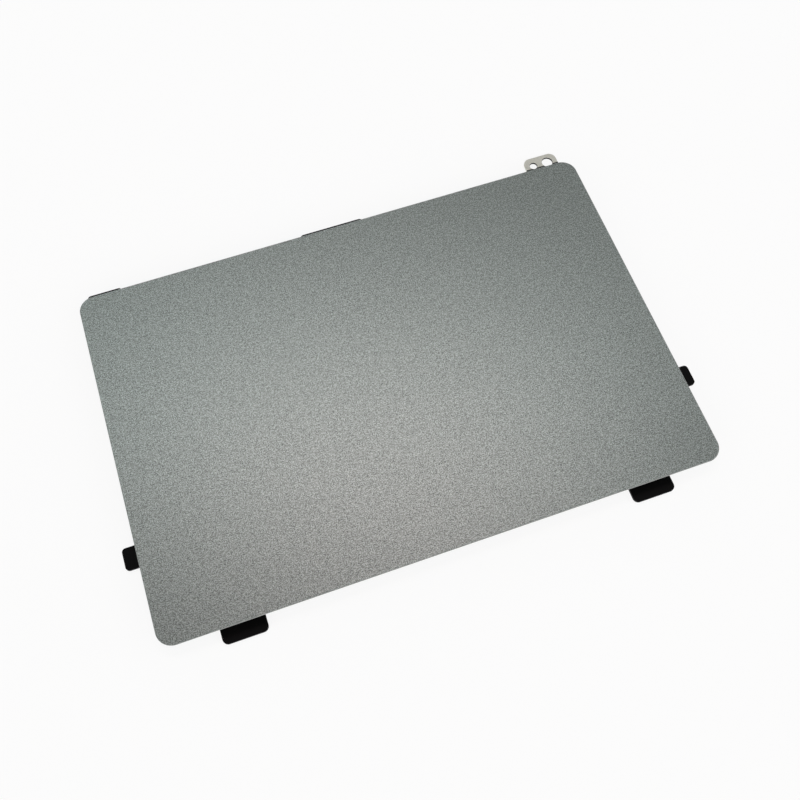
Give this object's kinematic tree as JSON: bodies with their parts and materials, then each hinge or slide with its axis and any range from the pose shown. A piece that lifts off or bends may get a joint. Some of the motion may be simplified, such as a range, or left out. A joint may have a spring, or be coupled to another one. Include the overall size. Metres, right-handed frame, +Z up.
{
  "type": "click trackpad module",
  "caption": "Flat film-faced trackpad that tilts on spring leaves over a stamped black frame and presses a click switch, with frame tongues and a steel screw ear.",
  "frame": {"origin": "under the middle of the whole part, on the plane of the base frame's underside", "axes": "+X right along the long side, +Y to the rear edge with the ear, +Z up out of the touch surface"},
  "size_m": [0.1108, 0.0772, 0.0034],
  "materials": {
    "film_grey": "fine metallic grain",
    "adhesive_dark": "satin",
    "board_green": "satin solder mask",
    "chip_black": "matte moulded",
    "ceramic_tan": "fired ceramic",
    "resistor_black": "glazed",
    "socket_ivory": "moulded",
    "contact_gold": "gold plated",
    "tin_plate": "tin plated",
    "latch_brown": "moulded",
    "switch_black": "moulded",
    "dome_steel": "bright",
    "plunger_white": "moulded",
    "standoff_brass": "turned",
    "screw_steel": "zinc plated",
    "pad_rubber": "matte",
    "frame_black": "satin black coat",
    "bracket_steel": "bead blasted",
    "leaf_steel": "rolled"
  },
  "bodies": {
    "frame": {"base_frame": "frame_black", "hinge_bracket": "bracket_steel", "bracket_rivets": "screw_steel", "hinge_leaf_left": "leaf_steel", "hinge_leaf_right": "leaf_steel", "leaf_rivets": "screw_steel", "anvil_button": "screw_steel", "bump_pads": "pad_rubber"},
    "pad": {"touch_film": "film_grey", "film_adhesive": "adhesive_dark", "sensor_board": "board_green", "controller_chip": "chip_black", "memory_chip": "chip_black", "regulator_chip": "chip_black", "surge_diodes": "chip_black", "capacitors": "ceramic_tan", "resistors": "resistor_black", "socket_housing": "socket_ivory", "socket_contacts": "contact_gold", "socket_anchors": "tin_plate", "switch_base": "switch_black", "switch_dome": "dome_steel", "switch_cover": "tin_plate", "switch_terminals": "tin_plate", "hinge_standoffs": "standoff_brass", "hinge_screws": "screw_steel", "limiter_standoffs": "standoff_brass", "limiter_screws": "screw_steel", "limiter_washers": "pad_rubber"},
    "latch": {"socket_latch": "latch_brown"},
    "plunger": {"switch_plunger": "plunger_white"}
  },
  "joints": [
    {"name": "pad_tilt", "type": "hinge", "parent": "frame", "child": "pad", "pos_m": [0, 0.02475, 0.0011], "axis": [1, 0, 0], "range_deg": [0, 0.267], "stiffness_Nm_per_rad": 4, "springref_deg": -0.17, "deforming": ["hinge_leaf_left", "hinge_leaf_right"]},
    {"name": "switch_press", "type": "slide", "parent": "pad", "child": "plunger", "axis": [0, 0, 1], "range_m": [0, 0.00026], "deforming": ["switch_dome"]},
    {"name": "latch_flip", "type": "hinge", "parent": "pad", "child": "latch", "pos_m": [-0.01395, 0.01047, 0.00126], "axis": [1, 0, 0], "range_deg": [0, 90]}
  ],
  "couplings": [
    {"joint": "switch_press", "follows": "pad_tilt", "m_per_rad": 0.0537}
  ]
}
